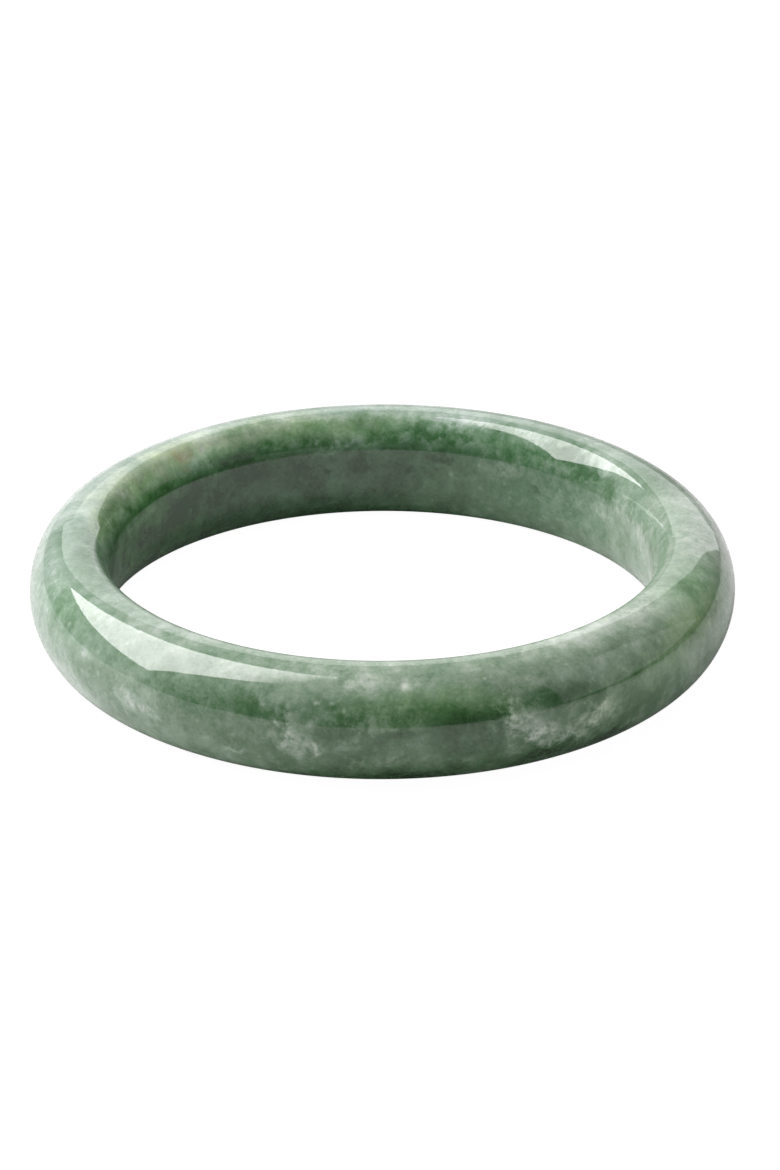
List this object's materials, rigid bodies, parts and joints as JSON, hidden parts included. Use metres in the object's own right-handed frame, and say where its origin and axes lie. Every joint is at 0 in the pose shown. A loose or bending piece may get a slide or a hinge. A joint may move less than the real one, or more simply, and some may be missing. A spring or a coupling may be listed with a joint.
{
  "type": "bangle bracelet",
  "caption": "Solid round bangle of polished green and white jade, domed outside and softly rounded inside, worn by slipping it over the hand.",
  "frame": {"origin": "centre of the ring, on the plane that the bangle lies on", "axes": "+Z along the ring's axis, which the wrist passes along; +Y points from the front of the ring, where the stone has its pale clouds, to the back; +X to the right of someone facing the front"},
  "size_m": [0.0728, 0.0728, 0.012],
  "materials": {
    "jade": "polished jadeite, mottled mid green with white clouds and dark green patches, slightly translucent, with a high wet gloss"
  },
  "bodies": {
    "root": {"bangle": "jade"}
  },
  "joints": []
}
